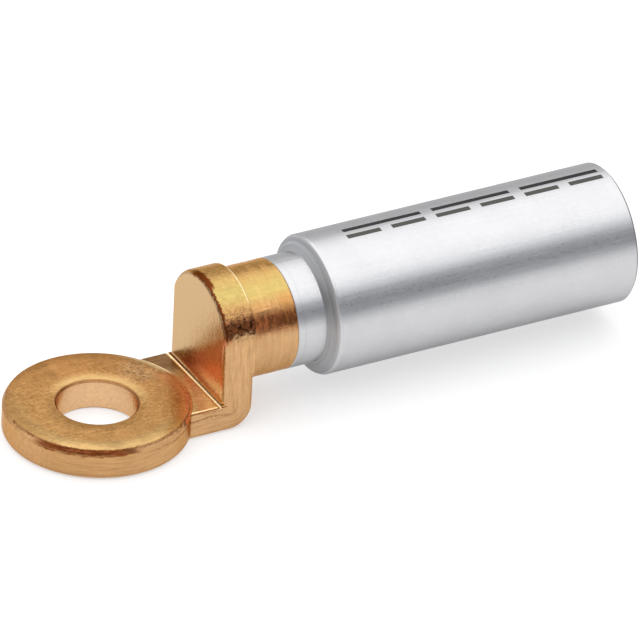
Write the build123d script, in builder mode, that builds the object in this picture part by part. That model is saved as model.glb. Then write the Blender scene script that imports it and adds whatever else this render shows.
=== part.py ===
# Compression cable lug with a copper palm and an aluminium barrel.
#
# The forged copper palm is a thick ring, a short tongue, a riser and a round shoulder
# with a turned neck. Its neck is friction welded, end to end, to the neck of a turned
# aluminium barrel. A stripped conductor goes into the barrel's blind bore, which is then
# pressed along its length.
#
# Frame: the origin is the centre of the bolt hole on the palm's underside. +Z points up
# out of the palm, and +X runs from the bolt hole to the barrel's mouth. Both pieces are
# symmetric about the plane Y = 0. All sizes are in millimetres.
import os
from math import radians, tan

from build123d import *

# Ring of the palm
ring_r = 15.1           # outer radius of the ring
ring_t = 5.45           # thickness at the ring's crown
hole_r = 6.5            # clearance hole for an M12 bolt
hole_break = 0.25       # bevel where the top face turns into the hole
hole_bottom_break = 0.3  # bevel of the hole's lower edge
lip_run = 2.4           # width of the band that slopes down to the hole
lip_drop = 0.25         # how far that band falls
rim_run = 1.8           # width of the band that slopes down to the rim
rim_drop = 0.15         # how far that band falls
bevel_w = 0.42          # forged bevel at the rim, along the radius
bevel_h = 0.85          # forged bevel at the rim, along the height
lower_edge_r = 1.1      # rounding of the palm's lower and rear edges

# Tongue, from the ring to the foot of the riser
tongue_w = 18.4         # width across the tongue and the riser
tongue_t = 5.0          # thickness of the tongue, less than the ring's
upper_edge_r = 0.45     # rounding of the tongue's upper edges
corner_r = 1.2          # hollow rounding where the ring's wall meets the tongue's side
groove_r = 0.45         # round groove across the tongue at the foot of the riser
groove_depth = 0.3      # depth of that groove

# Riser and shoulder
front_x = 17.7          # front face of the riser and the shoulder, from the hole's centre
riser_t = 5.6           # thickness of the riser and the shoulder
heel_r = 4.0            # outer bend under the riser
front_edge_r = 1.2      # rounding round the front face of the riser and the shoulder
axis_z = 13.8           # height of the barrel's axis above the palm's underside
shoulder_over = 0.8     # how far the shoulder's radius passes half the tongue's width
side_corner_r = 2.0     # rounding where the shoulder's flat sides meet its round top
shoulder_edge_r = 0.15  # rounding of the shoulder's rear edge

# Necks on each side of the weld
neck_step = 0.9         # how far the turned necks lie inside the shoulder's radius
copper_neck_l = 7.8     # from the shoulder to the weld
alu_neck_l = 4.9        # from the weld to the barrel's cone
weld_chamfer = 0.12     # chamfer of each neck at the weld

# Aluminium barrel
barrel_r = 11.5         # outer radius of the barrel
cone_l = 1.55           # length of the cone between the neck and the barrel
cone_break = 0.25       # bevel between the cone and the barrel
barrel_l = 54.0         # length of the plain barrel
barrel_break = 0.3      # bevel round the barrel's open end
bore_r = 7.35           # bore for a conductor of 120 square millimetres
bore_depth = 50.0       # depth of the bore's full diameter
mouth_chamfer = 0.6     # chamfer round the bore's mouth
drill_angle = 118.0     # point angle of the drill, in degrees

# How near an edge has to lie to a given place for it to be picked
tolerance = 0.01

# Places that follow from the sizes above
half_w = tongue_w / 2
shoulder_r = half_w + shoulder_over
neck_r = shoulder_r - neck_step
strip_x = hole_r + lip_run
wall_top = ring_t - bevel_h
groove_w = 2 * groove_r
corner_reach = front_x - groove_w - strip_x
back_x = front_x + riser_t
weld_x = back_x + copper_neck_l
cone_x = weld_x + alu_neck_l
barrel_x = cone_x + cone_l
end_x = barrel_x + barrel_l
bore_end_x = end_x - bore_depth
drill_point_l = bore_r / tan(radians(drill_angle / 2))
turning_axis = Axis((0, 0, axis_z), (1, 0, 0))
turning_plane = Plane(origin=(0, 0, axis_z), x_dir=(1, 0, 0), z_dir=(0, -1, 0))
front_plane = Plane(origin=(front_x, 0, axis_z), x_dir=(0, 1, 0), z_dir=(1, 0, 0))
neck_plane = front_plane.offset(riser_t)

os.makedirs("parts", exist_ok=True)

# Shoulder and copper neck: a round bar's end with its two sides pressed flat, turned
# down to the neck at the rear
with BuildPart() as shoulder:
    with BuildSketch(front_plane) as front_view:
        Circle(shoulder_r)
        Rectangle(tongue_w, 2 * shoulder_r, mode=Mode.INTERSECT)
        fillet(front_view.vertices(), side_corner_r)
    extrude(amount=riser_t)
    fillet(shoulder.faces().sort_by(Axis.X)[0].edges(), front_edge_r)
    fillet(shoulder.faces().sort_by(Axis.X)[-1].edges(), shoulder_edge_r)
    with BuildSketch(neck_plane):
        Circle(neck_r)
    extrude(amount=copper_neck_l)
    chamfer(shoulder.faces().sort_by(Axis.X)[-1].edges(), weld_chamfer)

# Tongue and riser: one bent strip, drawn from the side
with BuildPart() as strip:
    with BuildSketch(Plane.XZ) as side_view:
        with BuildLine():
            Polyline(
                (strip_x, 0),
                (back_x, 0),
                (back_x, axis_z),
                (front_x, axis_z),
                (front_x, tongue_t),
                (strip_x, tongue_t),
                close=True,
            )
        make_face()
        fillet(side_view.vertices().group_by(Axis.X)[-1].sort_by(Axis.Y)[0], heel_r)
    extrude(amount=half_w, both=True)
    front_face = strip.faces().filter_by(Axis.X).sort_by(Axis.X)[1]
    fillet(front_face.edges().filter_by(Axis.Z), front_edge_r)
    tongue_top = strip.faces().filter_by(Axis.Z).sort_by(Axis.Z)[1]
    fillet(tongue_top.edges().filter_by(Axis.X), upper_edge_r)

# Copper palm: the ring and its hollow corners, with the strip and the shoulder
with BuildPart() as copper_palm:
    with BuildSketch() as plan_view:
        Circle(ring_r)
        with Locations((strip_x, 0)):
            Rectangle(corner_reach, tongue_w, align=(Align.MIN, Align.CENTER))
        fillet(plan_view.vertices().group_by(Axis.X)[0], corner_r)
    extrude(amount=wall_top)
    add(strip.part)

    # The forging die rounds the lower edge, the heel and the riser's rear edges alike
    bottom_edges = copper_palm.faces().sort_by(Axis.Z)[0].edges()
    bottom_edges = bottom_edges.filter_by_position(Axis.X, -ring_r, back_x - heel_r - tolerance)
    heel_edges = copper_palm.faces().filter_by(Axis.Y).edges().filter_by(GeomType.CIRCLE)
    rear_face = copper_palm.faces().filter_by(Axis.X).sort_by(Axis.X)[-1]
    rear_edges = rear_face.edges().filter_by(Axis.Y, reverse=True)
    fillet(bottom_edges + heel_edges + rear_edges, lower_edge_r)
    add(shoulder.part)

    # Crown of the ring, which stands a little above the tongue
    with BuildSketch(Plane.XZ) as crown:
        with BuildLine():
            bore_wall = Line((hole_r, 0), (hole_r, ring_t - lip_drop - hole_break))
            lip_edge = (hole_r + hole_break, ring_t - lip_drop)
            Line(bore_wall @ 1, lip_edge)
            inner_crown = (lip_edge[0] + lip_run, ring_t)
            TangentArc(inner_crown, lip_edge, tangent=(-1, 0))
            outer_crown = (ring_r - bevel_w - rim_run, ring_t)
            Line(inner_crown, outer_crown)
            bevel_top = (ring_r - bevel_w, ring_t - rim_drop)
            TangentArc(outer_crown, bevel_top, tangent=(1, 0))
            bevel = Line(bevel_top, (ring_r, wall_top))
            wall = Line(bevel @ 1, (ring_r, wall_top - bevel_h))
            Polyline(wall @ 1, (strip_x, wall_top - bevel_h), (strip_x, 0), bore_wall @ 0)
        make_face()
    revolve(axis=Axis.Z)

    # Bolt hole
    with BuildSketch():
        Circle(hole_r)
    extrude(amount=wall_top, mode=Mode.SUBTRACT)
    underside = copper_palm.faces().sort_by(Axis.Z)[0]
    chamfer(underside.inner_wires()[0].edges(), hole_bottom_break)

    # Groove at the foot of the riser
    with BuildSketch(Plane.XZ):
        with Locations((front_x - groove_r, tongue_t + groove_r - groove_depth)):
            Circle(groove_r)
    extrude(amount=half_w, both=True, mode=Mode.SUBTRACT)

copper_palm.part.label = "copper_palm"
export_step(copper_palm.part, "parts/copper_palm.step")

# Aluminium barrel, turned in one piece with its neck
with BuildPart() as aluminium_barrel:
    with BuildSketch(turning_plane) as half_section:
        with BuildLine():
            Polyline(
                (weld_x, 0),
                (weld_x, neck_r - weld_chamfer),
                (weld_x + weld_chamfer, neck_r),
                (cone_x, neck_r),
                (barrel_x, barrel_r),
                (end_x, barrel_r),
                (end_x, bore_r + mouth_chamfer),
                (end_x - mouth_chamfer, bore_r),
                (bore_end_x, bore_r),
                (bore_end_x - drill_point_l, 0),
                close=True,
            )
        make_face()
    revolve(axis=turning_axis)
    cone_edge = aluminium_barrel.edges().filter_by(GeomType.CIRCLE)
    cone_edge = cone_edge.filter_by_position(Axis.X, barrel_x - tolerance, barrel_x + tolerance)
    chamfer(cone_edge, cone_break)
    open_end = aluminium_barrel.faces().sort_by(Axis.X)[-1].edges()
    chamfer(open_end.sort_by(SortBy.RADIUS)[-1], barrel_break)

aluminium_barrel.part.label = "aluminium_barrel"
export_step(aluminium_barrel.part, "parts/aluminium_barrel.step")

print("overall length", round(end_x + ring_r, 2))
print("weld at x", round(weld_x, 2), "bore ends at x", round(bore_end_x, 2))
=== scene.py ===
# %% [markdown]
# A bimetal cable lug, dressed for the camera.
#
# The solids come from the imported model: a forged copper palm, friction welded to a turned
# aluminium barrel. Blender gives them their metals, prints the crimp marks, and sets them
# under a soft studio light. Every object is in the row's frame, in metres.

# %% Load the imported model
import math

import bmesh
import bpy
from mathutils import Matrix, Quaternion


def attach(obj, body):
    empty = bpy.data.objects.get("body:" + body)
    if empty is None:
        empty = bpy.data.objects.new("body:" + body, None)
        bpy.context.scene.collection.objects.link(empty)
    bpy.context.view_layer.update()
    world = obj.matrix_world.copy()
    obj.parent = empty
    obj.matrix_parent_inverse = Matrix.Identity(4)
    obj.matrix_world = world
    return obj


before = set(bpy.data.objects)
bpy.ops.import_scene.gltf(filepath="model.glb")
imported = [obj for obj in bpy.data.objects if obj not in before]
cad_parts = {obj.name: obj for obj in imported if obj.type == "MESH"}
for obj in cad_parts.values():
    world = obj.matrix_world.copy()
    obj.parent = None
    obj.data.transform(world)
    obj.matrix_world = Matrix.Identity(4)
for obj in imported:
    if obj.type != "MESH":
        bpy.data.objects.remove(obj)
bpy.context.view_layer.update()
copper_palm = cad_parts["copper_palm"]
aluminium_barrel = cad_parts["aluminium_barrel"]
MM = 0.001
print("nodes", sorted(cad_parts))

# %% [markdown]
# Finishes are placed from the lug's own shoulders and axes: turned lines start at a
# shoulder, and oxide sits in a groove. These places repeat the sizes that drive the solids,
# and they are in millimetres, because the materials below count in millimetres too.

# %% Places on the lug, in millimetres
axis_z = 13.8       # height of the barrel's axis
barrel_r = 11.5     # outer radius of the barrel
ring_r = 15.1       # outer radius of the palm's ring
hole_r = 6.5        # radius of the bolt hole
front_x = 17.7      # the riser's front face
back_x = 23.3       # the shoulder's rear face
weld_x = 31.1       # the weld between copper and aluminium
cone_x = 36.0       # where the aluminium neck ends and the cone begins
barrel_x = 37.55    # where the full barrel begins
end_x = 91.55       # the barrel's open end
crown_z = 5.45      # top of the ring
tongue_z = 5.0      # top of the tongue
bevel_z = 4.6       # foot of the bevel round the ring
half_w = 9.2        # half the width of the tongue and the shoulder
round_z = 15.6      # where the shoulder's flat sides start to turn into its round top
shoulder_r = 10.0   # radius of that round top
neck_r = 9.1        # radius of both necks
heel_x = 19.3       # the bend under the riser turns about this place
heel_z = 4.0        # and this height
print("barrel in mm", round(end_x - barrel_x, 2), "long,", 2 * barrel_r, "across")

# %% [markdown]
# Colours are written as the hex values that a colour picker shows, and one function turns
# them into the linear numbers that shaders multiply and add. A second function adds a node,
# sets it and links it. Everything else in a material is a list of calls to that one. The
# object's own coordinates hold a finish to the metal, so it stays put in every view.

# %% Colour and node helpers
def linear(hex_colour):
    """An sRGB hex colour as linear red, green, blue and an alpha of one."""
    parts = [int(hex_colour[i : i + 2], 16) / 255 for i in (1, 3, 5)]
    values = [c / 12.92 if c <= 0.04045 else ((c + 0.055) / 1.055) ** 2.4 for c in parts]
    return (*values, 1.0)


def add(tree, kind, inputs=None, **settings):
    """Adds a node with its settings. An input is a value, a socket, or a node to link from."""
    node = tree.nodes.new(kind)
    for name, value in settings.items():
        setattr(node, name, value)
    for key, value in (inputs or {}).items():
        if isinstance(value, bpy.types.Node):
            value = next(socket for socket in value.outputs if socket.enabled)
        if isinstance(value, bpy.types.NodeSocket):
            tree.links.new(value, node.inputs[key])
        else:
            node.inputs[key].default_value = value
    return node


def new_finish(name):
    """An empty material and its node tree."""
    finish = bpy.data.materials.new(name)
    finish.use_nodes = True
    finish.node_tree.nodes.clear()
    return finish, finish.node_tree


def place_in_mm(tree):
    """The object's own coordinates, in millimetres."""
    metres = add(tree, "ShaderNodeTexCoord").outputs["Object"]
    return add(tree, "ShaderNodeVectorMath", {0: metres, "Scale": 1 / MM}, operation="SCALE")


# Settings that many nodes share: a step with a soft start and end, and what a mix node mixes.
SMOOTH = {"interpolation_type": "SMOOTHSTEP"}
COLOUR = {"data_type": "RGBA"}
NUMBER = {"data_type": "FLOAT"}
print("linear mid grey", [round(c, 3) for c in linear("#808080")])

# %% [markdown]
# A mark has a place, so each finish is laid on with masks: numbers from 0 to 1 that say how
# strongly a mark shows at a point. Two more functions shape them. One overlaps masks, and
# the other turns a coordinate into a thin line with soft sides.

# %% Mask helpers
def overlap(tree, *masks):
    """Where every mask is strong: their product."""
    product = masks[0]
    for mask in masks[1:]:
        product = add(tree, "ShaderNodeMath", {0: product, 1: mask}, operation="MULTIPLY")
    return product


def line_at(tree, value, middle, half_width, fade):
    """A line where the value is within half a width of the middle. It fades on both sides."""
    gap = add(tree, "ShaderNodeMath", {0: value, 1: middle}, operation="SUBTRACT")
    gap = add(tree, "ShaderNodeMath", {0: gap}, operation="ABSOLUTE")
    return add(
        tree, "ShaderNodeMapRange", {0: gap, 1: half_width, 2: half_width + fade, 3: 1.0, 4: 0.0}
    )


print("mask helpers", overlap.__name__, "and", line_at.__name__)

# %% [markdown]
# The barrel is bare aluminium tube, drawn through a die, with its neck and cone turned on a
# lathe. Drawing leaves long faint streaks along the tube, and turning leaves fine rings
# round it. The skin between them is satin, with a soft grain from tumbling, so highlights
# spread and their edges look mottled.

# %% Turned and drawn aluminium: the marks of its making
aluminium, tree = new_finish("turned_and_drawn_aluminium")
place = place_in_mm(tree)
along, across, height_of = add(tree, "ShaderNodeSeparateXYZ", {0: place}).outputs
# Real streaks are about 0.1 mm wide. They are drawn four times as coarse, to show at all.
streak_place = add(tree, "ShaderNodeMapping", {0: place, "Scale": (0.05, 2.4, 2.4)})
streaks = add(
    tree, "ShaderNodeTexNoise", {0: streak_place, "Scale": 1.0, "Detail": 4.0, "Roughness": 0.6}
)
# Real rings lie about 0.1 mm apart, and are drawn three times as coarse for the same reason.
ring_place = add(tree, "ShaderNodeMapping", {0: place, "Scale": (3.2, 0.05, 0.05)})
rings = add(
    tree, "ShaderNodeTexNoise", {0: ring_place, "Scale": 1.0, "Detail": 3.0, "Roughness": 0.6}
)
drawn = add(tree, "ShaderNodeMapRange", {0: along, 1: barrel_x, 2: barrel_x + 6.0, 3: 0.0, 4: 0.85})
lines = add(tree, "ShaderNodeMix", {0: drawn, 2: rings, 3: streaks}, **NUMBER)
grain_place = add(tree, "ShaderNodeMapping", {0: place, "Scale": (1.7, 3.4, 3.4)})
grain = add(
    tree, "ShaderNodeTexNoise", {0: grain_place, "Scale": 1.0, "Detail": 4.0, "Roughness": 0.7}
)
cloud = add(tree, "ShaderNodeTexNoise", {0: place, "Scale": 0.22, "Detail": 3.0, "Roughness": 0.55})
print("aluminium marks", len(tree.nodes), "nodes")

# %% Turned and drawn aluminium: dull places, and a band of painted shade
# The cone was cut coarsely and stays dull. So do the burred edge at the open end and the
# thin line that the lathe left beside the weld.
cone_start = add(
    tree, "ShaderNodeMapRange", {0: along, 1: cone_x - 0.05, 2: cone_x + 0.05, 3: 0.0, 4: 1.0}
)
cone_end = add(
    tree, "ShaderNodeMapRange", {0: along, 1: barrel_x - 0.3, 2: barrel_x - 0.15, 3: 1.0, 4: 0.0}
)
cone = add(tree, "ShaderNodeMath", {0: cone_start, 1: cone_end}, operation="MULTIPLY")
burr = add(tree, "ShaderNodeMapRange", {0: along, 1: end_x - 0.4, 2: end_x - 0.3, 3: 0.0, 4: 1.6})
from_centre = add(
    tree,
    "ShaderNodeVectorMath",
    {0: place, 1: (0, 1, 1), 2: (0, 0, -axis_z)},
    operation="MULTIPLY_ADD",
)
from_centre = add(tree, "ShaderNodeVectorMath", {0: from_centre}, operation="LENGTH")
outer_side = add(
    tree,
    "ShaderNodeMapRange",
    {0: from_centre, 1: barrel_r - 0.32, 2: barrel_r - 0.27, 3: 0.0, 4: 1.0},
)
burr = overlap(tree, burr, outer_side)
lathe_line = line_at(tree, along, weld_x + 1.2, 0.04, 0.12)
# Painted shade: the lower half of the cone's near side is darkened in a band, in line with
# the dark reflection band along the barrel.
near_side = add(tree, "ShaderNodeMath", {0: across, 1: 0.0}, operation="LESS_THAN")
cone_painted_shade = overlap(tree, line_at(tree, height_of, axis_z + 4.6, 0.6, 3.2), cone, near_side)
print("with dull places", len(tree.nodes), "nodes")

# %% Turned and drawn aluminium: colour, roughness and bump
tone = add(tree, "ShaderNodeMix", {0: cloud, 6: linear("#c4c4c6"), 7: linear("#cfcfd1")}, **COLOUR)
tone = add(tree, "ShaderNodeMix", {0: cone, 6: tone, 7: linear("#b5b6b9")}, **COLOUR)
contrast = add(tree, "ShaderNodeMapRange", {0: cone, 3: 0.04, 4: 0.9})
shade = add(tree, "ShaderNodeMath", {0: lines, 1: 0.5}, operation="SUBTRACT")
shade = add(tree, "ShaderNodeMath", {0: shade, 1: contrast, 2: 1.0}, operation="MULTIPLY_ADD")
for mark, change in ((burr, -0.4), (cone_painted_shade, -0.3), (lathe_line, -0.08)):
    shade = add(tree, "ShaderNodeMath", {0: mark, 1: change, 2: shade}, operation="MULTIPLY_ADD")
tone = add(tree, "ShaderNodeVectorMath", {0: tone, "Scale": shade}, operation="SCALE")
speckle = add(tree, "ShaderNodeMix", {0: 0.35, 2: grain, 3: streaks}, **NUMBER)
satin = add(tree, "ShaderNodeMapRange", {0: speckle, 1: 0.36, 2: 0.64, 3: 0.26, 4: 0.43})
satin = add(tree, "ShaderNodeMath", {0: cone, 1: 0.12, 2: satin}, operation="MULTIPLY_ADD")
height = add(tree, "ShaderNodeMath", {0: grain, 1: 0.2, 2: lines}, operation="MULTIPLY_ADD")
height = add(tree, "ShaderNodeMath", {0: lathe_line, 1: -0.4, 2: height}, operation="MULTIPLY_ADD")
bump = add(tree, "ShaderNodeBump", {"Strength": 1.0, "Distance": 0.01 * MM, "Height": height})
shader = add(
    tree,
    "ShaderNodeBsdfPrincipled",
    {
        "Base Color": tone,
        "Metallic": 1.0,
        "Roughness": satin,
        "Specular Tint": linear("#bcbcbc"),
        "Normal": bump,
    },
)
add(tree, "ShaderNodeOutputMaterial", {0: shader})
print(aluminium.name, len(tree.nodes), "nodes")

# %% [markdown]
# The palm is hot-forged copper. Its skin keeps the story of its making. The flat faces are
# mottled from the die, with fine scratches from handling. Light and shade are painted in as
# well: yellow painted highlights on the neck's crest and on the ring's rim and lip, browner
# painted shade on upward faces, redder painted shade on slopes, and painted shade in the
# groove at the riser's foot. One material carries it all, and places each mark by the
# palm's own coordinates.

# %% Forged copper: coordinates
copper, tree = new_finish("forged_copper")
place = place_in_mm(tree)
x, y, z = add(tree, "ShaderNodeSeparateXYZ", {0: place}).outputs
facing = add(tree, "ShaderNodeNewGeometry").outputs["Normal"]
up = add(tree, "ShaderNodeSeparateXYZ", {0: facing}).outputs["Z"]
flat_place = add(tree, "ShaderNodeVectorMath", {0: place, 1: (1, 1, 0)}, operation="MULTIPLY")
from_hole = add(tree, "ShaderNodeVectorMath", {0: flat_place}, operation="LENGTH")
round_place = add(
    tree,
    "ShaderNodeVectorMath",
    {0: place, 1: (0, 1, 1), 2: (0, 0, -axis_z)},
    operation="MULTIPLY_ADD",
)
from_axis = add(tree, "ShaderNodeVectorMath", {0: round_place}, operation="LENGTH")
# The rounding at the shoulder's front edge is coloured like the round top that it belongs to.
round_up = add(tree, "ShaderNodeMath", {0: z, 1: axis_z}, operation="SUBTRACT")
round_up = add(tree, "ShaderNodeMath", {0: round_up, 1: from_axis}, operation="DIVIDE")
front_rounding = line_at(tree, x, front_x + 0.78, 0.45, 0.03)
round_part = add(tree, "ShaderNodeMath", {0: z, 1: round_z}, operation="GREATER_THAN")
front_rounding = overlap(tree, front_rounding, round_part)
up = add(tree, "ShaderNodeMix", {0: front_rounding, 2: up, 3: round_up}, **NUMBER)
print("copper coordinates", len(tree.nodes), "nodes")

# %% [markdown]
# A forged skin isn't even at any scale. Blotches of a few millimetres come from the heat,
# mottling of about 0.7 mm from the die's own skin, and specks of 0.3 mm from loose oxide. A
# photograph could be projected on the metal instead, but noise works on every side.

# %% Forged copper: mottling at three scales, in features per millimetre
blotch = add(tree, "ShaderNodeTexNoise", {0: place, "Scale": 0.45, "Detail": 4.0, "Roughness": 0.6})
mottle = add(tree, "ShaderNodeTexNoise", {0: place, "Scale": 1.5, "Detail": 4.0, "Roughness": 0.65})
speck = add(tree, "ShaderNodeTexNoise", {0: place, "Scale": 3.2, "Detail": 2.0, "Roughness": 0.6})
# A noise is near its middle value along thin curly lines. They make the wrinkles of the skin.
curl = add(
    tree,
    "ShaderNodeTexNoise",
    {0: place, "Scale": 1.3, "Detail": 3.0, "Roughness": 0.6, "Distortion": 0.5},
)
wrinkle = line_at(tree, curl, 0.5, 0.006, 0.03)
ragged = add(tree, "ShaderNodeMath", {0: mottle, 1: 0.5}, operation="SUBTRACT")
print("with mottling", len(tree.nodes), "nodes")

# %% [markdown]
# Next come the zones. Some follow the direction that the surface faces, and their colours
# are painted light and shade: flat tops and other upward faces are painted browner as shade,
# slopes redder where they mirror the dim wall, and the crest of the neck yellow as a painted
# highlight. Others follow the distance from the hole, from the barrel's axis, or from a face.

# %% Forged copper: zones by direction and height
top = add(tree, "ShaderNodeMapRange", {0: up, 1: 0.15, 2: 0.8, 3: 0.0, 4: 1.0}, **SMOOTH)
crest = add(tree, "ShaderNodeMapRange", {0: up, 1: 0.68, 2: 0.87, 3: 0.0, 4: 1.0}, **SMOOTH)
slope_start = add(tree, "ShaderNodeMapRange", {0: up, 1: 0.18, 2: 0.42, 3: 0.0, 4: 1.0}, **SMOOTH)
slope_end = add(tree, "ShaderNodeMapRange", {0: up, 1: 0.5, 2: 0.68, 3: 1.0, 4: 0.0}, **SMOOTH)
slope = overlap(tree, slope_start, slope_end)
on_ring = add(tree, "ShaderNodeMath", {0: z, 1: crown_z + 0.25}, operation="LESS_THAN")
off_floor = add(tree, "ShaderNodeMath", {0: z, 1: tongue_z - 0.35}, operation="GREATER_THAN")
from_middle = add(tree, "ShaderNodeMath", {0: y}, operation="ABSOLUTE")
on_side = add(tree, "ShaderNodeMath", {0: from_middle, 1: half_w - 0.05}, operation="GREATER_THAN")
on_neck = add(tree, "ShaderNodeMath", {0: x, 1: back_x + 0.02}, operation="GREATER_THAN")
far_half = add(tree, "ShaderNodeMapRange", {0: y, 1: 2.0, 2: 5.0, 3: 0.0, 4: 1.0}, **SMOOTH)
print("zones by direction", len(tree.nodes), "nodes")

# %% [markdown]
# The ring's flat face is brown, while the rim's near side and the lip's far side carry a
# painted highlight where their slopes face the light, and the rim's left end carries painted
# shade. Its zones are distances from the hole's centre. The far side is redder, and a
# greyish worn patch lies near the tongue.

# %% Forged copper: zones of the ring
within = add(tree, "ShaderNodeMath", {0: from_hole, 1: ring_r + 0.03}, operation="LESS_THAN")
rim = add(
    tree,
    "ShaderNodeMapRange",
    {0: from_hole, 1: ring_r - 3.9, 2: ring_r - 1.8, 3: 0.0, 4: 1.0},
    **SMOOTH,
)
lip = add(
    tree,
    "ShaderNodeMapRange",
    {0: from_hole, 1: hole_r + 0.7, 2: hole_r + 2.6, 3: 1.0, 4: 0.0},
    **SMOOTH,
)
# The die pinched the rim most on its near left. Distances along that way place the marks.
pinch_way = (-0.574, -0.819, 0)
toward_pinch = add(
    tree, "ShaderNodeVectorMath", {0: flat_place, 1: pinch_way}, operation="DOT_PRODUCT"
)
toward_pinch = toward_pinch.outputs["Value"]
# Painted highlight on the rim's near side and the lip's far side, whose slopes face the light.
near_rim = add(
    tree, "ShaderNodeMapRange", {0: toward_pinch, 1: -2.0, 2: 8.0, 3: 0.0, 4: 1.0}, **SMOOTH
)
far_lip = add(
    tree, "ShaderNodeMapRange", {0: toward_pinch, 1: -5.0, 2: 1.0, 3: 1.0, 4: 0.0}, **SMOOTH
)
rim_and_lip_highlight = add(
    tree,
    "ShaderNodeMath",
    {0: overlap(tree, rim, near_rim), 1: overlap(tree, lip, far_lip)},
    operation="MAXIMUM",
)
rim_and_lip_highlight = overlap(tree, rim_and_lip_highlight, within, top, on_ring)
near_riser = add(tree, "ShaderNodeMapRange", {0: x, 1: 8.0, 2: 12.5, 3: 0.0, 4: 1.0}, **SMOOTH)
facing_riser = overlap(tree, rim, within, top, on_ring, near_riser)
rim_and_lip_highlight = add(
    tree, "ShaderNodeMath", {0: rim_and_lip_highlight, 1: facing_riser}, operation="SUBTRACT", use_clamp=True
)
on_bevel = add(
    tree, "ShaderNodeMapRange", {0: from_hole, 1: ring_r - 0.48, 2: ring_r - 0.42, 3: 0.0, 4: 1.0}
)
over_wall = add(tree, "ShaderNodeMath", {0: z, 1: bevel_z - 0.1}, operation="GREATER_THAN")
on_bevel = overlap(tree, on_bevel, within, on_ring, over_wall)
# Where it is pinched, the dark seam is broad.
pinched = add(
    tree, "ShaderNodeMapRange", {0: toward_pinch, 1: 11.6, 2: 13.8, 3: 0.0, 4: 1.0}, **SMOOTH
)
unpinched = add(tree, "ShaderNodeMath", {0: 1.0, 1: pinched}, operation="SUBTRACT")
off_tongue = add(tree, "ShaderNodeMapRange", {0: x, 1: 8.5, 2: 10.5, 3: 1.0, 4: 0.0})
worn_bevel = overlap(tree, on_bevel, unpinched, off_tongue)
ring_wall = line_at(tree, from_hole, ring_r, 0.06, 0.03)
ring_wall = overlap(tree, ring_wall, on_ring)
far_side = add(tree, "ShaderNodeMapRange", {0: toward_pinch, 1: -10.0, 2: 4.0, 3: 0.35, 4: 0.0})
far_side = overlap(tree, far_side, within, top, on_ring)
# Painted shade: the rim's left end is painted darker, against the highlight its slope catches.
left_end = add(tree, "ShaderNodeMapRange", {0: x, 1: -13.6, 2: -11.0, 3: 0.6, 4: 0.0})
left_rim_shade = overlap(tree, rim, left_end, top, on_ring)
patch_middle = (10.3, 5.3, 0)
worn_patch = add(
    tree, "ShaderNodeVectorMath", {0: flat_place, 1: patch_middle}, operation="DISTANCE"
)
worn_patch = worn_patch.outputs["Value"]
worn_patch = add(
    tree, "ShaderNodeMapRange", {0: worn_patch, 1: 1.5, 2: 4.8, 3: 1.0, 4: 0.0}, **SMOOTH
)
worn_patch = overlap(tree, worn_patch, top, within, on_ring)
hole_wall = add(tree, "ShaderNodeMath", {0: from_hole, 1: hole_r + 0.05}, operation="LESS_THAN")
print("zones of the ring", len(tree.nodes), "nodes")

# %% [markdown]
# The ring, the tongue and the riser stand round a hollow. Metal faces that look at each
# other redden each other, so the riser is red low on its near side, while its upper part
# mirrors the pale room. Reflections give part of that here, and paint adds the rest.

# %% Forged copper: the hollow between the ring and the riser
hollow = add(tree, "ShaderNodeMath", {0: from_hole, 1: ring_r + 0.1}, operation="GREATER_THAN")
reach = add(
    tree,
    "ShaderNodeMapRange",
    {0: z, 1: round_z - 0.1, 2: round_z + 0.1, 3: front_x + 0.1, 4: front_x + 0.34},
)
inner_face = add(tree, "ShaderNodeMath", {0: x, 1: reach}, operation="LESS_THAN")
hollow = overlap(tree, hollow, inner_face, off_floor)
# The riser's face is red low on its near side and pale above, and the border runs askew.
askew = add(tree, "ShaderNodeMath", {0: y, 1: 0.8, 2: z}, operation="MULTIPLY_ADD")
askew = add(tree, "ShaderNodeMath", {0: ragged, 1: 3.0, 2: askew}, operation="MULTIPLY_ADD")
red_face = add(tree, "ShaderNodeMapRange", {0: askew, 1: 8.5, 2: 11.5, 3: 1.0, 4: 0.0}, **SMOOTH)
above_tongue = add(
    tree, "ShaderNodeMapRange", {0: z, 1: tongue_z + 0.3, 2: tongue_z + 0.8, 3: 0.0, 4: 1.0}
)
from_near = add(tree, "ShaderNodeMapRange", {0: y, 1: -7.0, 2: 1.0, 3: 0.75, 4: 1.0}, **SMOOTH)
red_face = overlap(tree, red_face, hollow, above_tongue, from_near)
pale_face = add(tree, "ShaderNodeMapRange", {0: askew, 1: 9.0, 2: 12.0, 3: 0.0, 4: 1.0}, **SMOOTH)
pale_face = overlap(tree, pale_face, hollow, above_tongue)
off_side = add(tree, "ShaderNodeMath", {0: from_middle, 1: half_w - 0.18}, operation="LESS_THAN")
on_tongue = add(tree, "ShaderNodeMath", {0: z, 1: tongue_z + 0.1}, operation="LESS_THAN")
tongue_top = overlap(tree, hollow, off_side, on_tongue)
to_far_side = add(tree, "ShaderNodeMapRange", {0: y, 1: -1.0, 2: 5.0, 3: 0.0, 4: 0.9})
tongue_far = overlap(tree, tongue_top, to_far_side)
to_near_side = add(tree, "ShaderNodeMapRange", {0: y, 1: -4.0, 2: 0.5, 3: 0.75, 4: 0.0})
sheen = overlap(tree, line_at(tree, z, 7.4, 0.4, 1.1), to_near_side, hollow)
print("zones of the hollow", len(tree.nodes), "nodes")

# %% [markdown]
# Colours come as a base for each kind of surface, and then as a list of coats. Each coat is
# a mask and a colour, and a later one covers an earlier one where its mask is strong.

# %% Forged copper: base colours
side_skin = add(
    tree, "ShaderNodeMix", {0: blotch, 6: linear("#bc9061"), 7: linear("#d4aa7c")}, **COLOUR
)
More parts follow.
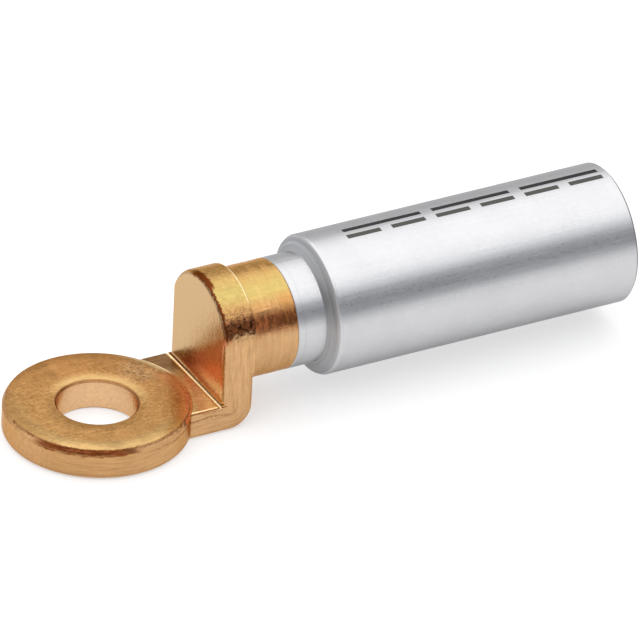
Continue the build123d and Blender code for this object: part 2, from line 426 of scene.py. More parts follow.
# Painted shade: upward faces get a browner, more saturated copy of the skin than the sides.
upward_skin_shaded = add(
    tree, "ShaderNodeMix", {0: mottle, 6: linear("#ab7846"), 7: linear("#d0a46c")}, **COLOUR
)
# Painted highlight: the colour painted on the crest.
crest_highlight_colour = add(tree, "ShaderNodeMix", {0: blotch, 6: linear("#b99c5c"), 7: linear("#c1ae6c")}, **COLOUR)
near_end = add(tree, "ShaderNodeMapRange", {0: y, 1: -7.0, 2: -2.0, 3: 1.0, 4: 0.0})
red_tone = add(
    tree, "ShaderNodeMix", {0: near_end, 6: linear("#cc8068"), 7: linear("#e69e82")}, **COLOUR
)
print("copper tones", len(tree.nodes), "nodes")

# %% Forged copper: where the special colours go
# Painted highlight: the crest is painted yellow on its near side, fading to the far side.
crest_fade = add(tree, "ShaderNodeMapRange", {0: y, 1: -4.0, 2: 0.0, 3: 1.0, 4: 0.15})
not_ring = add(tree, "ShaderNodeMath", {0: 1.0, 1: on_ring}, operation="SUBTRACT")
front_crest_highlight = overlap(tree, crest, crest_fade, not_ring)
grey_spots = add(tree, "ShaderNodeMapRange", {0: curl, 1: 0.4, 2: 0.6, 3: 0.1, 4: 0.9})
greyed = overlap(tree, worn_patch, grey_spots)
rubbed = overlap(tree, worn_patch, wrinkle, 0.7)
# Painted shade: slopes that mirror the dim wall are painted red-brown, off the worn bevel.
off_bevel = add(tree, "ShaderNodeMath", {0: on_bevel, 1: unpinched}, operation="MULTIPLY")
off_bevel = add(tree, "ShaderNodeMath", {0: 1.0, 1: off_bevel}, operation="SUBTRACT")
slope_shade_red = overlap(tree, slope, off_bevel)
wall_tint = add(tree, "ShaderNodeMapRange", {0: toward_pinch, 1: 8.0, 2: 14.5, 3: 0.0, 4: 0.5})
tinted_wall = overlap(tree, ring_wall, wall_tint)
# Painted reflection: the rim facing the riser is painted warmer, as the riser's copper tints it.
warm_fade = add(tree, "ShaderNodeMapRange", {0: y, 1: 2.0, 2: 5.0, 3: 0.6, 4: 0.0})
riser_reflection_warm = overlap(tree, facing_riser, warm_fade)
# Painted reflection and shade: the ring and the tongue are painted redder where they meet.
outer_rim = add(
    tree,
    "ShaderNodeMapRange",
    {0: from_hole, 1: ring_r - 2.5, 2: ring_r - 1.1, 3: 0.0, 4: 1.0},
    **SMOOTH,
)
beside_tongue_reflection = overlap(tree, facing_riser, outer_rim)
beside_tongue_reflection = add(
    tree,
    "ShaderNodeMath",
    {0: overlap(tree, on_bevel, near_riser), 1: beside_tongue_reflection},
    operation="MAXIMUM",
)
near_front = add(tree, "ShaderNodeMapRange", {0: y, 1: 1.0, 2: 3.0, 3: 0.75, 4: 0.0})
beside_tongue_reflection = overlap(tree, beside_tongue_reflection, near_front)
beside_ring_reflection = add(
    tree, "ShaderNodeMapRange", {0: from_hole, 1: ring_r + 0.3, 2: ring_r + 2.1, 3: 0.8, 4: 0.0}
)
beside_ring_reflection = overlap(tree, beside_ring_reflection, tongue_top, line_at(tree, y, 0.5, 1.0, 3.0))
neck_end = add(tree, "ShaderNodeMapRange", {0: x, 1: weld_x - 2.5, 2: weld_x - 2.3, 3: 0.0, 4: 0.4})
below_crest = add(tree, "ShaderNodeMapRange", {0: up, 1: 0.74, 2: 0.86, 3: 1.0, 4: 0.0})
neck_end = overlap(tree, neck_end, top, below_crest)
print("places of the colours", len(tree.nodes), "nodes")

# %% Forged copper: the colours, laid over each other like coats of paint
skin = side_skin
for mask, colour in (
    (top, upward_skin_shaded),
    (front_crest_highlight, crest_highlight_colour),
    (far_side, linear("#b07443")),
    (overlap(tree, rim_and_lip_highlight, 0.95), linear("#c3a06b")),
    (left_rim_shade, linear("#94683c")),
    (greyed, linear("#9d7650")),
    (rubbed, linear("#e6c596")),
    (slope_shade_red, linear("#b86e41")),
    (worn_bevel, side_skin),
    (tinted_wall, linear("#b0824f")),
    (hole_wall, linear("#deb689")),
    (pale_face, linear("#cdb18c")),
    (red_face, red_tone),
    (sheen, linear("#f2be96")),
    (tongue_top, linear("#ece6ba")),
    (tongue_far, linear("#774522")),
    (riser_reflection_warm, linear("#c58152")),
    (beside_tongue_reflection, linear("#f2ae7e")),
    (beside_ring_reflection, linear("#eeb488")),
    (neck_end, linear("#c58a48")),
):
    skin = add(tree, "ShaderNodeMix", {0: mask, 6: skin, 7: colour}, **COLOUR)
print("copper colours", len(tree.nodes), "nodes")

# %% [markdown]
# Marks of making come next. The neck was turned, so it has rings. The flat face has fine
# scratches in two directions. The shoulder, which no tool touched after forging, is wrinkled
# and keeps a patch of black scale, partly painted shade. On the sides, the metal's flow
# follows the bend of the palm, so those lines are drawn in a coordinate that runs round the
# bend: the distance from the bend's inner line.

# %% Forged copper: turned rings and dabs on the neck
neck_place = add(tree, "ShaderNodeMapping", {0: place, "Scale": (2.6, 0.05, 0.05)})
neck_rings = add(
    tree, "ShaderNodeTexNoise", {0: neck_place, "Scale": 1.0, "Detail": 3.0, "Roughness": 0.65}
)
dab_place = add(tree, "ShaderNodeMapping", {0: place, "Scale": (1.0, 0.38, 0.38)})
dabs = add(
    tree, "ShaderNodeTexNoise", {0: dab_place, "Scale": 1.0, "Detail": 4.0, "Roughness": 0.7}
)
turned_step = overlap(tree, line_at(tree, x, weld_x - 2.45, 0.03, 0.1), on_neck)
print("turned neck", len(tree.nodes), "nodes")

# %% Forged copper: scratches on the flat face
scratch_place = add(
    tree, "ShaderNodeMapping", {0: place, "Rotation": (0, 0, 0.5), "Scale": (0.16, 2.2, 0.3)}
)
scratch_a = add(
    tree, "ShaderNodeTexNoise", {0: scratch_place, "Scale": 1.0, "Detail": 3.0, "Roughness": 0.6}
)
scratch_place = add(
    tree, "ShaderNodeMapping", {0: place, "Rotation": (0, 0, -0.9), "Scale": (0.2, 2.0, 0.3)}
)
scratch_b = add(
    tree, "ShaderNodeTexNoise", {0: scratch_place, "Scale": 1.0, "Detail": 3.0, "Roughness": 0.6}
)
scratches = add(tree, "ShaderNodeMath", {0: scratch_a, 1: scratch_b}, operation="MAXIMUM")
scratches = add(tree, "ShaderNodeMapRange", {0: scratches, 1: 0.54, 2: 0.78, 3: 0.0, 4: 1.0})
print("scratches", len(tree.nodes), "nodes")

# %% [markdown]
# The bend's coordinate is built from two distances. Outside the bend's inner corner it is
# the length of a vector, which makes round lines. Inside, the larger of the two distances
# keeps the lines parallel to the tongue and to the riser.

# %% Forged copper: flow lines that follow the bend
past_heel = add(tree, "ShaderNodeMath", {0: x, 1: heel_x}, operation="SUBTRACT")
under_heel = add(tree, "ShaderNodeMath", {0: heel_z, 1: z}, operation="SUBTRACT")
outer_x = add(tree, "ShaderNodeMath", {0: past_heel, 1: 0.0}, operation="MAXIMUM")
outer_z = add(tree, "ShaderNodeMath", {0: under_heel, 1: 0.0}, operation="MAXIMUM")
outer = add(tree, "ShaderNodeCombineXYZ", {0: outer_x, 1: outer_z})
outer = add(tree, "ShaderNodeVectorMath", {0: outer}, operation="LENGTH")
inner = add(tree, "ShaderNodeMath", {0: past_heel, 1: under_heel}, operation="MAXIMUM")
inner = add(tree, "ShaderNodeMath", {0: inner, 1: 0.0}, operation="MINIMUM")
depth = add(tree, "ShaderNodeMath", {0: outer, 1: inner}, operation="ADD")
length = add(tree, "ShaderNodeMath", {0: x, 1: z}, operation="ADD")
flow_place = add(tree, "ShaderNodeCombineXYZ", {0: depth, 1: length})
flow_place = add(tree, "ShaderNodeMapping", {0: flow_place, "Scale": (2.4, 0.16, 1.0)})
flow = add(
    tree, "ShaderNodeTexNoise", {0: flow_place, "Scale": 1.0, "Detail": 4.0, "Roughness": 0.7}
)
print("flow lines", len(tree.nodes), "nodes")

# %% Forged copper: the two broken seams on the side of the tongue
wandering = add(tree, "ShaderNodeMath", {0: blotch, 1: -1.1, 2: depth}, operation="MULTIPLY_ADD")
low_seam = line_at(tree, wandering, 0.0, 0.05, 0.22)
before_heel = add(tree, "ShaderNodeMapRange", {0: length, 1: 22.5, 2: 24.5, 3: 1.0, 4: 0.25})
low_seam = overlap(tree, low_seam, before_heel)
falling = add(tree, "ShaderNodeMath", {0: x, 1: 0.086, 2: z}, operation="MULTIPLY_ADD")
falling = add(tree, "ShaderNodeMath", {0: ragged, 1: 0.25, 2: falling}, operation="MULTIPLY_ADD")
high_seam = line_at(tree, falling, 5.84, 0.08, 0.14)
before_riser = add(tree, "ShaderNodeMath", {0: x, 1: front_x - 0.1}, operation="LESS_THAN")
high_seam = overlap(tree, high_seam, before_riser)
seams = add(tree, "ShaderNodeMath", {0: low_seam, 1: high_seam}, operation="MAXIMUM")
broken = add(tree, "ShaderNodeMapRange", {0: mottle, 1: 0.4, 2: 0.56, 3: 0.25, 4: 1.0})
low = add(tree, "ShaderNodeMapRange", {0: z, 1: 4.0, 2: 5.6, 3: 1.0, 4: 0.0})
past_ring = add(tree, "ShaderNodeMath", {0: x, 1: 11.6}, operation="GREATER_THAN")
seams = overlap(tree, seams, broken, low, past_ring, on_side)
print("seams", len(tree.nodes), "nodes")

# %% [markdown]
# Scale is the black crust of hot metal. A patch of it lies on the near side of the shoulder's
# round top, on the band that mirrors the dim wall, and is painted darker there as painted
# shade. Its patch has ragged borders, because a little noise is added to the coordinate that
# decides where it ends. The same trick roughens the other borders below.

# %% Forged copper: wrinkles, and black scale deepened with painted shade on the shoulder
before_back = add(tree, "ShaderNodeMath", {0: x, 1: back_x - 0.1}, operation="LESS_THAN")
behind_front = add(
    tree, "ShaderNodeMapRange", {0: x, 1: front_x + 0.1, 2: front_x + 0.4, 3: 0.0, 4: 1.0}
)
high = add(tree, "ShaderNodeMapRange", {0: z, 1: round_z, 2: round_z + 1.4, 3: 0.0, 4: 1.0})
shoulder = overlap(tree, before_back, behind_front, high)
steep = add(tree, "ShaderNodeMapRange", {0: up, 1: 0.6, 2: 0.78, 3: 0.8, 4: 0.1})
wrinkled = overlap(tree, wrinkle, shoulder, steep)
scale_top = add(tree, "ShaderNodeMath", {0: ragged, 1: 0.3, 2: up}, operation="MULTIPLY_ADD")
scale_top = add(tree, "ShaderNodeMapRange", {0: scale_top, 1: 0.56, 2: 0.64, 3: 1.0, 4: 0.0})
scale_foot = add(tree, "ShaderNodeMath", {0: ragged, 1: 2.0, 2: z}, operation="MULTIPLY_ADD")
scale_foot = add(
    tree, "ShaderNodeMapRange", {0: scale_foot, 1: round_z + 1.4, 2: round_z + 1.8, 3: 0.0, 4: 1.0}
)
# Partly painted shade: the patch lies on the band of the round top that mirrors the dim wall.
scale_and_band_shade = overlap(tree, shoulder, scale_top, scale_foot)
bare = add(tree, "ShaderNodeMapRange", {0: curl, 1: 0.38, 2: 0.62, 3: 1.0, 4: 0.35})
scale_and_band_shade = overlap(tree, scale_and_band_shade, bare)
print("shoulder", len(tree.nodes), "nodes")

# %% [markdown]
# Where the two halves of the die met, a seam of folded metal runs round the rim. It is thin
# for the most part and broad at the pinched place. Its streaks are noise that is stretched
# along the rim, in coordinates of angle, distance and height.

# %% Forged copper: the ragged seam round the rim
sweep = add(tree, "ShaderNodeMath", {0: y, 1: x}, operation="ARCTAN2")
seam_place = add(tree, "ShaderNodeCombineXYZ", {0: sweep, 1: from_hole, 2: z})
seam_place = add(tree, "ShaderNodeMapping", {0: seam_place, "Scale": (8.0, 2.0, 3.4)})
seam_streaks = add(
    tree, "ShaderNodeTexNoise", {0: seam_place, "Scale": 1.0, "Detail": 3.0, "Roughness": 0.65}
)
uneven_r = add(tree, "ShaderNodeMath", {0: ragged, 1: 0.7, 2: from_hole}, operation="MULTIPLY_ADD")
thin_seam = line_at(tree, uneven_r, ring_r - 0.42, 0.07, 0.12)
front_half = add(tree, "ShaderNodeMath", {0: y, 1: 0.5}, operation="LESS_THAN")
seam_strength = add(tree, "ShaderNodeMapRange", {0: blotch, 1: 0.4, 2: 0.6, 3: 0.35, 4: 0.9})
thin_seam = overlap(tree, thin_seam, seam_strength, within, front_half)
broad_in = add(
    tree, "ShaderNodeMapRange", {0: uneven_r, 1: ring_r - 0.58, 2: ring_r - 0.48, 3: 0.0, 4: 1.0}
)
uneven_z = add(tree, "ShaderNodeMath", {0: ragged, 1: 1.0, 2: z}, operation="MULTIPLY_ADD")
broad_foot = add(
    tree, "ShaderNodeMapRange", {0: uneven_z, 1: bevel_z - 0.45, 2: bevel_z - 0.25, 3: 0.0, 4: 1.0}
)
streaked = add(tree, "ShaderNodeMapRange", {0: seam_streaks, 1: 0.42, 2: 0.56, 3: 0.5, 4: 1.0})
broad_seam = overlap(tree, broad_in, broad_foot, pinched, within, streaked)
rim_seam = add(tree, "ShaderNodeMath", {0: thin_seam, 1: broad_seam}, operation="MAXIMUM")
near_bevel = add(tree, "ShaderNodeMath", {0: z, 1: bevel_z - 0.6}, operation="GREATER_THAN")
rim_seam = overlap(tree, rim_seam, on_ring, near_bevel)
# A second, fainter seam lies on the wall, at the near right.
second_way = (0.454, -0.891, 0)
toward_right = add(
    tree, "ShaderNodeVectorMath", {0: flat_place, 1: second_way}, operation="DOT_PRODUCT"
)
toward_right = toward_right.outputs["Value"]
toward_right = add(tree, "ShaderNodeMapRange", {0: toward_right, 1: 13.6, 2: 14.8, 3: 0.0, 4: 0.5})
second_seam = add(tree, "ShaderNodeMath", {0: ragged, 1: 1.2, 2: z}, operation="MULTIPLY_ADD")
second_seam = overlap(
    tree, line_at(tree, second_seam, bevel_z - 0.65, 0.05, 0.14), toward_right, ring_wall
)
rim_seam = add(tree, "ShaderNodeMath", {0: rim_seam, 1: second_seam}, operation="MAXIMUM")
hole_edge = add(
    tree, "ShaderNodeMapRange", {0: from_hole, 1: hole_r + 0.2, 2: hole_r + 0.5, 3: 0.7, 4: 0.0}
)
at_lip = add(tree, "ShaderNodeMath", {0: z, 1: crown_z - 0.6}, operation="GREATER_THAN")
hole_edge = overlap(tree, hole_edge, at_lip)
rim_seam = add(tree, "ShaderNodeMath", {0: rim_seam, 1: hole_edge}, operation="MAXIMUM")
print("rim seam", len(tree.nodes), "nodes")

# %% Forged copper: the dark front edge of the shoulder
uneven_x = add(tree, "ShaderNodeMath", {0: ragged, 1: 0.8, 2: x}, operation="MULTIPLY_ADD")
front_edge = line_at(tree, uneven_x, front_x + 0.42, 0.1, 0.14)
peak = add(tree, "ShaderNodeMapRange", {0: y, 1: -3.4, 2: -2.4, 3: 0.0, 4: 1.0})
peak = overlap(tree, peak, line_at(tree, uneven_x, front_x + 0.65, 0.3, 0.3))
front_edge = add(tree, "ShaderNodeMath", {0: front_edge, 1: peak}, operation="MAXIMUM")
outer_skin = add(
    tree, "ShaderNodeMapRange", {0: from_axis, 1: neck_r + 0.1, 2: neck_r + 0.3, 3: 0.0, 4: 1.0}
)
near_half = add(tree, "ShaderNodeMapRange", {0: y, 1: 2.0, 2: 4.5, 3: 1.0, 4: 0.0}, **SMOOTH)
front_edge = overlap(tree, front_edge, outer_skin, high, near_half)
print("front edge", len(tree.nodes), "nodes")

# %% [markdown]
# Sharp edges catch the light as fine bright lines, which are painted highlights here, and
# the groove between two of them gets painted shade. The real lines are a tenth of a
# millimetre wide, which is less than a pixel here, so they are drawn a few tenths wide to
# show at all.

# %% Forged copper: bright lines at the groove, beside the ring and behind the shoulder
# Painted shade: the groove at the riser's foot is painted dark, as the shadow in the crevice.
groove_shade = add(
    tree, "ShaderNodeMapRange", {0: x, 1: front_x - 0.2, 2: front_x - 0.12, 3: 0.0, 4: 0.8}
)
groove_top = add(
    tree, "ShaderNodeMapRange", {0: z, 1: tongue_z + 0.02, 2: tongue_z + 0.12, 3: 1.0, 4: 0.0}
)
groove_shade = overlap(tree, groove_shade, groove_top, off_floor, inner_face)
bright = line_at(tree, x, front_x - 0.42, 0.2, 0.1)
at_riser = add(tree, "ShaderNodeMath", {0: x, 1: front_x - 0.05}, operation="GREATER_THAN")
foot_fade = add(tree, "ShaderNodeMapRange", {0: y, 1: -7.0, 2: 2.0, 3: 0.15, 4: 0.75})
foot_breaks = add(tree, "ShaderNodeMapRange", {0: mottle, 1: 0.38, 2: 0.52, 3: 0.5, 4: 1.0})
foot = line_at(tree, z, tongue_z + 0.28, 0.06, 0.12)
foot = overlap(tree, foot, at_riser, hollow, foot_fade, foot_breaks)
bright = add(
    tree, "ShaderNodeMath", {0: overlap(tree, bright, hollow), 1: foot}, operation="MAXIMUM"
)
at_crown = add(tree, "ShaderNodeMath", {0: z, 1: tongue_z - 0.05}, operation="GREATER_THAN")
ring_line = line_at(tree, from_hole, ring_r + 0.02, 0.1, 0.1)
ring_line = overlap(tree, ring_line, far_half, near_riser, at_crown, on_ring)
bright = add(tree, "ShaderNodeMath", {0: bright, 1: ring_line}, operation="MAXIMUM")
at_top = add(tree, "ShaderNodeMath", {0: from_axis, 1: shoulder_r - 0.25}, operation="GREATER_THAN")
rear_line = overlap(tree, line_at(tree, x, back_x - 0.12, 0.1, 0.1), crest, at_top)
bright = add(tree, "ShaderNodeMath", {0: bright, 1: rear_line}, operation="MAXIMUM")
far_rim = add(
    tree, "ShaderNodeMapRange", {0: from_hole, 1: ring_r - 1.3, 2: ring_r - 0.9, 3: 0.0, 4: 0.6}
)
far_rim = overlap(tree, far_rim, far_half, near_riser, within, on_ring)
bright = add(tree, "ShaderNodeMath", {0: bright, 1: far_rim}, operation="MAXIMUM")
print("edges and bright lines", len(tree.nodes), "nodes")

# %% Forged copper: dark and bright marks over the colours
dark = add(tree, "ShaderNodeMath", {0: rim_seam, 1: front_edge}, operation="MAXIMUM")
dark = add(tree, "ShaderNodeMath", {0: dark, 1: 0.92}, operation="MULTIPLY")
dark = add(tree, "ShaderNodeMath", {0: dark, 1: groove_shade}, operation="MAXIMUM")
for mark, depth in ((wrinkled, 0.35), (seams, 0.7)):
    dark = add(
        tree,
        "ShaderNodeMath",
        {0: mark, 1: depth, 2: dark},
        operation="MULTIPLY_ADD",
        use_clamp=True,
    )
for mask, colour in (
    (bright, "#f0d3a4"),
    (dark, "#7c3e1c"),
    (overlap(tree, front_edge, 0.7), "#642e12"),
    (scale_and_band_shade, "#4a2c1c"),
):
    skin = add(tree, "ShaderNodeMix", {0: mask, 6: skin, 7: linear(colour)}, **COLOUR)
print("with dark and bright marks", len(tree.nodes), "nodes")

# %% Forged copper: light and dark from the grain of each place
neck_mark = add(tree, "ShaderNodeMix", {0: 0.65, 2: neck_rings, 3: dabs}, **NUMBER)
line_mark = add(tree, "ShaderNodeMix", {0: on_neck, 2: mottle, 3: neck_mark}, **NUMBER)
line_mark = add(tree, "ShaderNodeMix", {0: on_side, 2: line_mark, 3: flow}, **NUMBER)
lined = add(tree, "ShaderNodeMath", {0: on_neck, 1: on_side}, operation="MAXIMUM")
contrast = add(tree, "ShaderNodeMapRange", {0: lined, 3: 0.6, 4: 1.1})
contrast = add(tree, "ShaderNodeMix", {0: pale_face, 2: contrast, 3: 0.15}, **NUMBER)
shade = add(tree, "ShaderNodeMath", {0: line_mark, 1: 0.5}, operation="SUBTRACT")
shade = add(tree, "ShaderNodeMath", {0: shade, 1: contrast, 2: 1.0}, operation="MULTIPLY_ADD")
# Painted shade: within its dark band, the neck darkens evenly towards the weld.
neck_band_shade = add(
    tree, "ShaderNodeMapRange", {0: x, 1: back_x + 0.7, 2: weld_x - 1.1, 3: 0.05, 4: 0.22}
)
shade = add(
    tree,
    "ShaderNodeMath",
    {0: shade, 1: overlap(tree, neck_band_shade, slope, on_neck)},
    operation="SUBTRACT",
)
broad = add(tree, "ShaderNodeMath", {0: blotch, 1: 0.5}, operation="SUBTRACT")
for mark, change in (
    (shoulder, -0.06),
    (overlap(tree, broad, top, on_ring), 0.5),
    (overlap(tree, scratches, top), 0.16),
):
    shade = add(tree, "ShaderNodeMath", {0: mark, 1: change, 2: shade}, operation="MULTIPLY_ADD")
skin = add(tree, "ShaderNodeVectorMath", {0: skin, "Scale": shade}, operation="SCALE")
print("copper shades", len(tree.nodes), "nodes")

# %% [markdown]
# Forged copper is fairly smooth where it was pressed, at a roughness of 0.16 to 0.3. The
# lathe leaves bright and dull dabs on the neck, and dark marks are rougher. As with any
# metal, the colour is all in the reflection, so the base colour sets its tint.

# %% Forged copper: roughness
smooth = add(tree, "ShaderNodeMapRange", {0: mottle, 1: 0.3, 2: 0.7, 3: 0.16, 4: 0.3})
turned = add(tree, "ShaderNodeMapRange", {0: dabs, 1: 0.38, 2: 0.62, 3: 0.06, 4: 0.46})
satin = add(tree, "ShaderNodeMix", {0: on_neck, 2: smooth, 3: turned}, **NUMBER)
satin = add(tree, "ShaderNodeMath", {0: dark, 1: 0.15, 2: satin}, operation="MULTIPLY_ADD")
print("copper roughness", len(tree.nodes), "nodes")

# %% [markdown]
# Some edges are softer on the real palm than on the solid: the rim's bevel away from the
# pinched part, and the shoulder's front edge. There the shading leans towards the face
# beside the edge. At the riser's foot it leans up, which draws a thin bright line. The solid
# itself stays as it is.

# %% Forged copper: softened edges
to_world = {"vector_type": "NORMAL", "convert_from": "OBJECT", "convert_to": "WORLD"}
outward = add(tree, "ShaderNodeVectorTransform", {0: flat_place}, **to_world)
radial = add(tree, "ShaderNodeVectorTransform", {0: round_place}, **to_world)
forward = add(tree, "ShaderNodeVectorTransform", {0: (-1, 0, 0)}, **to_world)
upward = add(tree, "ShaderNodeVectorTransform", {0: (-0.6, 0, 0.8)}, **to_world)
above = add(tree, "ShaderNodeVectorTransform", {0: (0, 0, 1)}, **to_world)
inner_edge = add(
    tree, "ShaderNodeMapRange", {0: x, 1: front_x + 0.15, 2: front_x + 0.35, 3: 1.0, 4: 0.0}
)
inner_edge = overlap(tree, inner_edge, high)
outer_edge = add(
    tree, "ShaderNodeMapRange", {0: x, 1: front_x + 0.36, 2: front_x + 0.52, 3: 0.0, 4: 1.0}
)
on_rounding = add(tree, "ShaderNodeMath", {0: x, 1: front_x + 1.25}, operation="LESS_THAN")
above_side = add(tree, "ShaderNodeMath", {0: up, 1: 0.28}, operation="GREATER_THAN")
outer_edge = overlap(tree, outer_edge, high, on_rounding, above_side)
normal = facing
for mask, way in (
    (worn_bevel, outward),
    (overlap(tree, on_bevel, near_riser), above),
    (inner_edge, forward),
    (outer_edge, radial),
    (foot, upward),
):
    normal = add(tree, "ShaderNodeMix", {0: mask, 4: normal, 5: way}, data_type="VECTOR")
normal = add(tree, "ShaderNodeVectorMath", {0: normal}, operation="NORMALIZE")
print("softened edges", len(tree.nodes), "nodes")

# %% Forged copper: bump, and the finished metal
polished = add(tree, "ShaderNodeMapRange", {0: pale_face, 3: 0.9, 4: 0.12})
fine = add(tree, "ShaderNodeMix", {0: top, 2: polished, 3: 0.35}, **NUMBER)
rough_zone = add(
    tree, "ShaderNodeMath", {0: overlap(tree, rim_seam, 0.6), 1: scale_and_band_shade}, operation="MAXIMUM"
)
rough_zone = overlap(tree, rough_zone, curl)
height = overlap(tree, speck, fine)
for mark, rise in (
    (line_mark, polished),
    (blotch, 1.2),
    (scratches, 0.4),
    (wrinkled, -1.2),
    (seams, -1.2),
    (turned_step, -0.6),
    (rough_zone, 4.0),
):
    height = add(tree, "ShaderNodeMath", {0: mark, 1: rise, 2: height}, operation="MULTIPLY_ADD")
relief = 0.03
bump = add(
    tree,
    "ShaderNodeBump",
    {"Strength": 1.0, "Distance": relief * MM, "Height": height, "Normal": normal},
)
shader = add(
    tree,
    "ShaderNodeBsdfPrincipled",
    {
        "Base Color": skin,
        "Metallic": 1.0,
        "Roughness": satin,
        "Specular Tint": linear("#e8ceb4"),
        "Normal": bump,
    },
)
add(tree, "ShaderNodeOutputMaterial", {0: shader})
print(copper.name, len(tree.nodes), "nodes, relief of", relief, "mm")

# %% Put the metals on the CAD nodes
for node, metal in ((copper_palm, copper), (aluminium_barrel, aluminium)):
    node.data.materials.clear()
    node.data.materials.append(metal)
    print(node.name, len(node.data.polygons), "faces of", metal.name)

# %% [markdown]
# The crimp marks are printed with a roller: an upper row of long bars and a lower row of
# short ones, which show where the pressing die goes. They are ink, a few thousandths of a
# millimetre thick, so each bar is a thin curved plate that follows the barrel. The upper row
# is nearly black, while the lower one is painted greyish, a painted sheen of light from above.

# %% Ink
ink, tree = new_finish("printing_ink")
place = place_in_mm(tree)
worn = add(tree, "ShaderNodeTexNoise", {0: place, "Scale": 2.5, "Detail": 3.0, "Roughness": 0.6})
row_side = add(tree, "ShaderNodeSeparateXYZ", {0: place}).outputs["Y"]
lower_row = add(tree, "ShaderNodeMapRange", {0: row_side, 1: -0.3, 2: 0.3, 3: 1.0, 4: 0.0})
dense = add(tree, "ShaderNodeMix", {0: worn, 6: linear("#141413"), 7: linear("#222220")}, **COLOUR)
# Painted sheen: the lower row is painted greyish, as light from above glances off it.
lower_row_sheen = add(tree, "ShaderNodeMix", {0: worn, 6: linear("#3c3c38"), 7: linear("#555550")}, **COLOUR)
film = add(tree, "ShaderNodeMix", {0: lower_row, 6: dense, 7: lower_row_sheen}, **COLOUR)
matt = add(tree, "ShaderNodeMapRange", {0: worn, 1: 0.3, 2: 0.7, 3: 0.35, 4: 0.6})
bump = add(tree, "ShaderNodeBump", {"Strength": 1.0, "Distance": 0.01 * MM, "Height": worn})
shader = add(
    tree,
    "ShaderNodeBsdfPrincipled",
    {"Base Color": film, "Roughness": matt, "Specular IOR Level": 0.2, "Normal": bump},
)
add(tree, "ShaderNodeOutputMaterial", {0: shader})
print(ink.name, len(tree.nodes), "nodes")

# %% One bar of ink
ink_lift = 0.004    # how far the ink lies above the metal, in millimetres
bar_w = 1.0         # width of a bar, along the barrel's round
cuts_along = 24     # faces along a bar
cuts_across = 6     # faces across it


def printed_bar(name, x0, x1, angle0, angle1):
    """A bar of ink on the barrel: from x0 to x1, at angles from straight up towards -Y."""
    mesh = bmesh.new()
    r = barrel_r + ink_lift
    grid = []
    for i in range(cuts_along + 1):
        t = i / cuts_along
        middle = angle0 + (angle1 - angle0) * t
        row = []
        for j in range(cuts_across + 1):
            a = middle + (j / cuts_across - 0.5) * bar_w / barrel_r
            corner = (x0 + (x1 - x0) * t, -r * math.sin(a), axis_z + r * math.cos(a))
            row.append(mesh.verts.new([v * MM for v in corner]))
        grid.append(row)
    for i in range(cuts_along):
        for j in range(cuts_across):
            corners = (grid[i][j], grid[i + 1][j], grid[i + 1][j + 1], grid[i][j + 1])
            mesh.faces.new(corners)
    data = bpy.data.meshes.new(name)
    mesh.to_mesh(data)
    mesh.free()
    bar = bpy.data.objects.new(name, data)
    bpy.context.scene.collection.objects.link(bar)
    data.materials.append(ink)
    for face in data.polygons:
        face.use_smooth = True
    return bar


print("a bar has", cuts_along * cuts_across, "faces")

# %% [markdown]
# The roller ran a little askew, so each row turns slowly round the barrel from its near end
# to its far end. The bars of a row are equal and evenly spaced.

# %% Two rows of crimp marks
row_start = 43.9    # x where the upper row starts
row_end = 90.0      # x where both rows end
rows = (
    # name, count, first x, pitch and length in mm, then the angle at both ends in degrees
    ("crimp_mark_long", 3, row_start, 16.03, 14.0, -6.1, -4.2),
    ("crimp_mark_short", 6, 43.7, 8.05, 6.05, 3.8, 5.4),
)


def slant(x, near_end, far_end):
    """The angle of a row of marks at x, which changes evenly from one end to the other."""
    t = (x - row_start) / (row_end - row_start)
    return math.radians(near_end + (far_end - near_end) * t)


marks = []
for name, count, first, pitch, bar_l, near_end, far_end in rows:
    for i in range(count):
        x0 = first + pitch * i
        x1 = x0 + bar_l
        angles = (slant(x0, near_end, far_end), slant(x1, near_end, far_end))
        marks.append(printed_bar(f"{name}_{i + 1}", x0, x1, *angles))
for mark in marks:
    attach(mark, "root")
print("crimp marks", len(marks))

# %% [markdown]
# The lug lies on a white sheet. The sheet has to look white, yet keep a soft shadow, so it
# is a light grey paper that also glows a little for the camera and for the metal's
# reflections. The glow lights nothing else.

# %% Floor
sheet_size = 6.0    # metres
sheet_gap = 0.05    # millimetres below the lug, so that no two faces share a plane
sheet_glow = 0.52   # 1 would be white by itself
bpy.ops.mesh.primitive_plane_add(size=sheet_size, location=(0, 0, -sheet_gap * MM))
floor = bpy.context.object
floor.name = "floor"
paper, tree = new_finish("white_paper")
path = add(tree, "ShaderNodeLightPath").outputs
seen = add(
    tree, "ShaderNodeMath", {0: path["Is Camera Ray"], 1: path["Is Glossy Ray"]}, operation="ADD"
)
seen = add(
    tree,
    "ShaderNodeMath",
    {0: seen, 1: path["Is Transmission Ray"]},
    operation="ADD",
    use_clamp=True,
)
glow = add(tree, "ShaderNodeMath", {0: seen, 1: sheet_glow}, operation="MULTIPLY")
matte = add(tree, "ShaderNodeBsdfDiffuse", {0: linear("#c2c2c2")})
light = add(tree, "ShaderNodeEmission", {"Color": (1, 1, 1, 1), "Strength": glow})
both = add(tree, "ShaderNodeAddShader", {0: matte, 1: light})
add(tree, "ShaderNodeOutputMaterial", {0: both})
floor.data.materials.append(paper)
print("sheet", sheet_size, "m wide,", sheet_gap, "mm below the lug")

# %% [markdown]
# Metal shows what stands round it, so the room is the larger half of its look. Here it is a
# wide soft box overhead, a bright wall behind the lug, and a dim one behind the camera. The
# dim wall is what draws the dark band along the barrel.

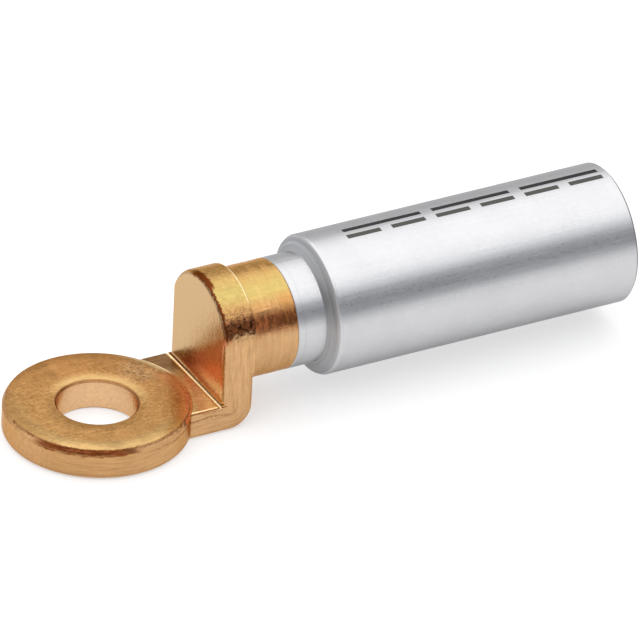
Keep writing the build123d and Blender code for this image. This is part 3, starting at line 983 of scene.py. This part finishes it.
# %% World light
box_level = 1.66    # the soft box overhead
dim_level = 0.34    # the wall behind the camera
wall_level = 0.74   # the wall behind the lug
world = bpy.data.worlds.new("studio")
bpy.context.scene.world = world
world.use_nodes = True
tree = world.node_tree
tree.nodes.clear()
round_about = add(tree, "ShaderNodeTexCoord").outputs["Generated"]
way = add(tree, "ShaderNodeSeparateXYZ", {0: round_about}).outputs
side = add(
    tree,
    "ShaderNodeMapRange",
    {0: way["Y"], 1: -0.45, 2: 0.35, 3: dim_level, 4: wall_level},
    **SMOOTH,
)
over = add(tree, "ShaderNodeMapRange", {0: way["Z"], 1: 0.45, 2: 0.74, 3: 0.0, 4: 1.0}, **SMOOTH)
level = add(tree, "ShaderNodeMix", {0: over, 2: side, 3: box_level}, **NUMBER)
behind = add(tree, "ShaderNodeMapRange", {0: way["Y"], 1: -0.4, 2: 0.1, 3: 0.0, 4: 1.0})
behind = add(tree, "ShaderNodeMath", {0: behind, 1: over}, operation="MAXIMUM")
tint = add(tree, "ShaderNodeMix", {0: behind, 6: linear("#eef3fb"), 7: linear("#ffffff")}, **COLOUR)
sky = add(tree, "ShaderNodeBackground", {"Color": tint, "Strength": level})
add(tree, "ShaderNodeOutputWorld", {0: sky})
print("light levels", box_level, dim_level, wall_level)

# %% [markdown]
# The camera stands well back with a long lens, as for a catalogue picture. Its place and
# lens were solved from the outlines of the palm and the barrel.

# %% Camera
camera = bpy.data.objects.new("camera", bpy.data.cameras.new("camera"))
bpy.context.scene.collection.objects.link(camera)
camera.location = (-0.946232, -1.740750, 1.234671)
camera.rotation_mode = "QUATERNION"
camera.rotation_quaternion = Quaternion((0.8484415, 0.4697423, -0.1354570, -0.2028315))
camera.data.sensor_width = 36.0
camera.data.lens = 827.188
camera.data.clip_start = 0.1
camera.data.clip_end = 20.0
bpy.context.scene.camera = camera
bpy.context.scene.view_settings.view_transform = "Standard"
print(
    "camera", round(camera.location.length, 2), "m from the bolt hole, lens", camera.data.lens, "mm"
)
